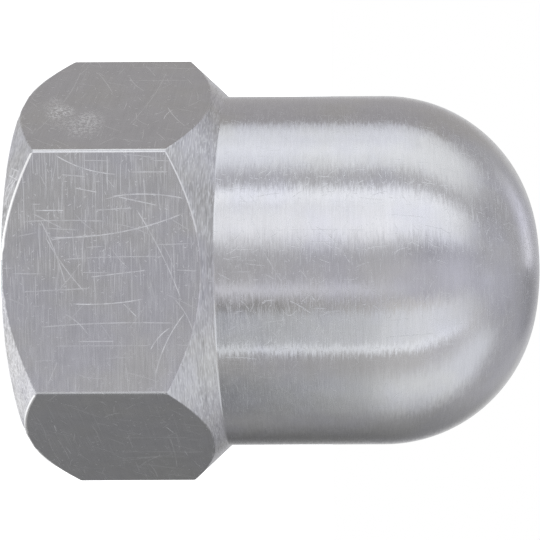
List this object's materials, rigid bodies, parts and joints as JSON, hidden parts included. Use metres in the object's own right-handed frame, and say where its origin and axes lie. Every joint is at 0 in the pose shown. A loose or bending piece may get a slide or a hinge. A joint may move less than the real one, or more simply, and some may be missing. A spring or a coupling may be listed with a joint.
{
  "type": "cap nut",
  "caption": "Hexagon cap nut with a high domed crown over a blind threaded bore, turned and brushed bare metal.",
  "frame": {"origin": "centre of the bearing face, on the nut's axis", "axes": "+Z along the axis from the bearing face to the top of the dome; one flat of the hexagon faces -Y and two corners lie on +X and -X"},
  "size_m": [0.0218, 0.019, 0.0255],
  "materials": {
    "bare_metal": "turned crown and chamfers with fine rings, brushed flats with thin scratches and rubbed patches"
  },
  "bodies": {
    "root": {"cap_nut": "bare_metal"}
  },
  "joints": []
}
